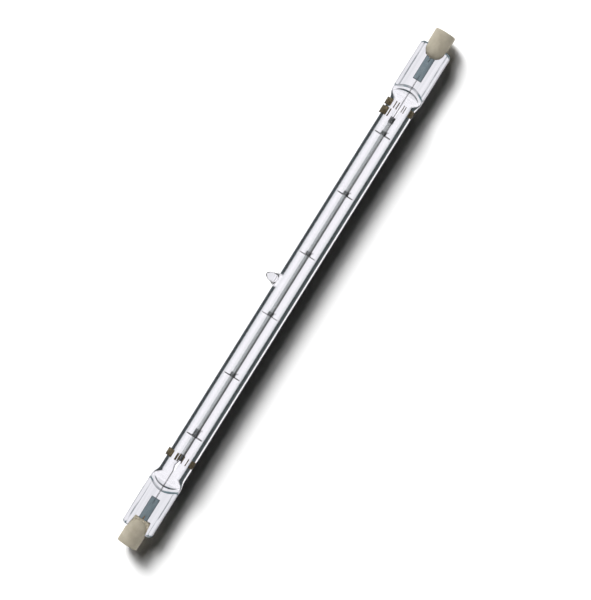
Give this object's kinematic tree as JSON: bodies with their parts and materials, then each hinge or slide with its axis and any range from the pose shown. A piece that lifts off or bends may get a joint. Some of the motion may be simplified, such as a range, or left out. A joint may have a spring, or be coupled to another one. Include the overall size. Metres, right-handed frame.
{
  "type": "linear halogen bulb",
  "caption": "Double-ended halogen bulb: a clear quartz tube with a long supported coil filament, flat pinch seals, an exhaust tip and slotted ceramic caps with recessed contacts.",
  "frame": {"origin": "light centre of the lamp, on the tube's axis midway between the cap ends", "axes": "+X along the tube towards the right-hand cap, +Y out of the exhaust tip, +Z square to the flat pinch seals"},
  "size_m": [0.189, 0.0134, 0.01],
  "materials": {
    "quartz": "clear fused quartz",
    "ceramic": "unglazed beige ceramic",
    "cement": "rough dull cement",
    "contact": "plain nickel",
    "molybdenum": "dull drawn wire",
    "foil": "satin foil",
    "tungsten": "dark drawn wire"
  },
  "bodies": {
    "root": {"quartz_envelope": "quartz", "ceramic_cap_left": "ceramic", "ceramic_cap_right": "ceramic", "cap_cement_left": "cement", "cap_cement_right": "cement", "contact_button_left": "contact", "contact_button_right": "contact", "outer_lead_left": "molybdenum", "outer_lead_right": "molybdenum", "seal_foil_left": "foil", "seal_foil_right": "foil", "inner_lead_left": "molybdenum", "inner_lead_right": "molybdenum", "filament": "tungsten", "filament_support_1": "tungsten", "filament_support_2": "tungsten", "filament_support_3": "tungsten", "filament_support_4": "tungsten", "filament_support_5": "tungsten", "filament_support_6": "tungsten"}
  },
  "joints": []
}
